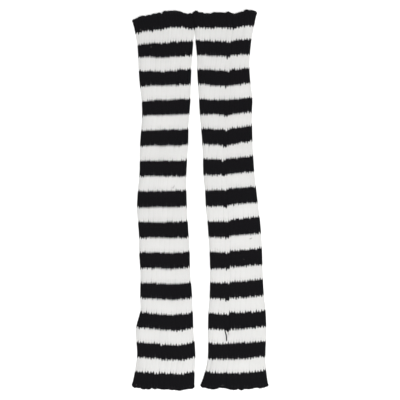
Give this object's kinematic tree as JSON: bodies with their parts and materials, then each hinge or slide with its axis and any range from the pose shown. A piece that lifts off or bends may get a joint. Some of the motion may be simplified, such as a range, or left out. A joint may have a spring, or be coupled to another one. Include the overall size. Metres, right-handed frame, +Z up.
{
  "type": "pair of wrist warmers",
  "caption": "Pair of long tube-shaped wrist warmers in rib knit with even crosswise stripes, laid flat side by side with both hems open.",
  "frame": {"origin": "middle of the pair's footprint, on the surface that it lies on", "axes": "+Y along the warmers towards the elbow hems, +X across the pair to the viewer's right in the picture, +Z up out of the surface"},
  "size_m": [0.144, 0.4034, 0.0071],
  "materials": {
    "black_yarn": "soft matt acrylic rib knit with a faint nap",
    "white_yarn": "soft matt off-white acrylic rib knit with a faint nap"
  },
  "bodies": {
    "root": {"left_warmer": "black_yarn", "right_warmer": "black_yarn"}
  },
  "joints": []
}
